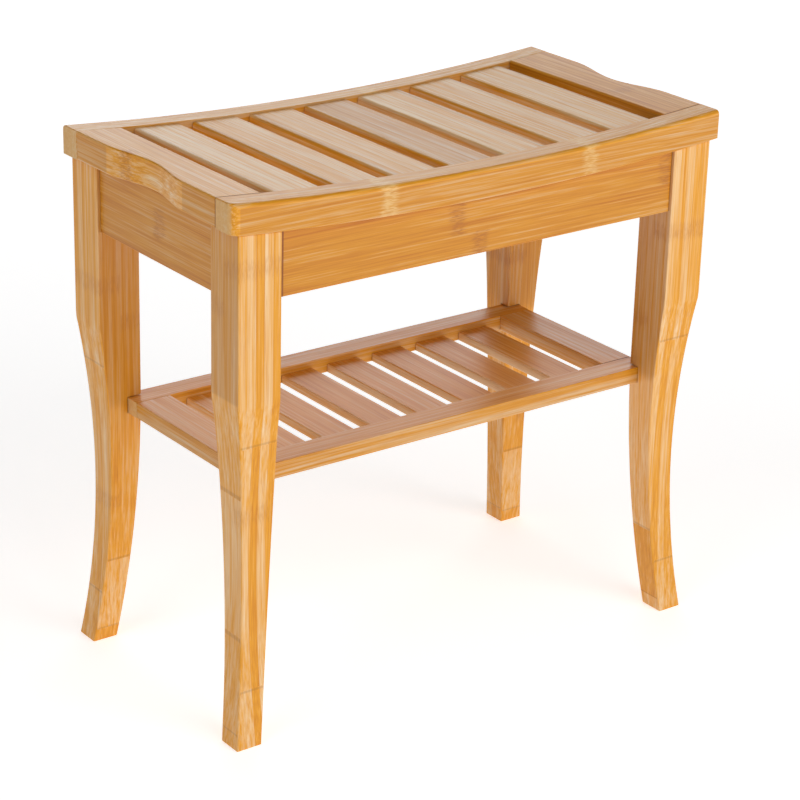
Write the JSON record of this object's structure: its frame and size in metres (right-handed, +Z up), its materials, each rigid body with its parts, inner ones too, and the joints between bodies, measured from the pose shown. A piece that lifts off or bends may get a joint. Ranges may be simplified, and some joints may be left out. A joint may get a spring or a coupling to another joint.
{
  "type": "shower stool",
  "caption": "Bamboo shower stool with a dished slatted seat, hand-hold scoops in its ends, swept legs, deep aprons and a slatted shelf.",
  "frame": {"origin": "on the floor under the middle of the seat", "axes": "+X along the seat's length, +Y from front to back, +Z up"},
  "size_m": [0.5016, 0.2604, 0.4762],
  "materials": {
    "bamboo": "satin clear lacquer over laminated bamboo",
    "dowel_wood": "plain turned dowel",
    "steel": "zinc-plated"
  },
  "bodies": {
    "root": {"seat_rail_front": "bamboo", "seat_rail_back": "bamboo", "seat_end_slat_left": "bamboo", "seat_end_slat_right": "bamboo", "seat_slat_1": "bamboo", "seat_slat_2": "bamboo", "seat_slat_3": "bamboo", "seat_slat_4": "bamboo", "seat_slat_5": "bamboo", "seat_slat_6": "bamboo", "seat_slat_7": "bamboo", "apron_front": "bamboo", "apron_back": "bamboo", "apron_left": "bamboo", "apron_right": "bamboo", "leg_front_left": "bamboo", "leg_front_right": "bamboo", "leg_back_left": "bamboo", "leg_back_right": "bamboo", "shelf_rail_front": "bamboo", "shelf_rail_back": "bamboo", "shelf_end_left": "bamboo", "shelf_end_right": "bamboo", "shelf_slat_1": "bamboo", "shelf_slat_2": "bamboo", "shelf_slat_3": "bamboo", "shelf_slat_4": "bamboo", "shelf_slat_5": "bamboo", "shelf_slat_6": "bamboo", "shelf_slat_7": "bamboo", "corner_block_front_left": "bamboo", "corner_block_front_right": "bamboo", "corner_block_back_left": "bamboo", "corner_block_back_right": "bamboo", "seat_dowels": "dowel_wood", "apron_dowels": "dowel_wood", "shelf_dowels": "dowel_wood", "shelf_corner_dowels": "dowel_wood", "shelf_pins": "dowel_wood", "leg_bolts": "steel", "leg_bolt_washers": "steel", "leg_inserts": "steel", "seat_screws": "steel"}
  },
  "joints": []
}
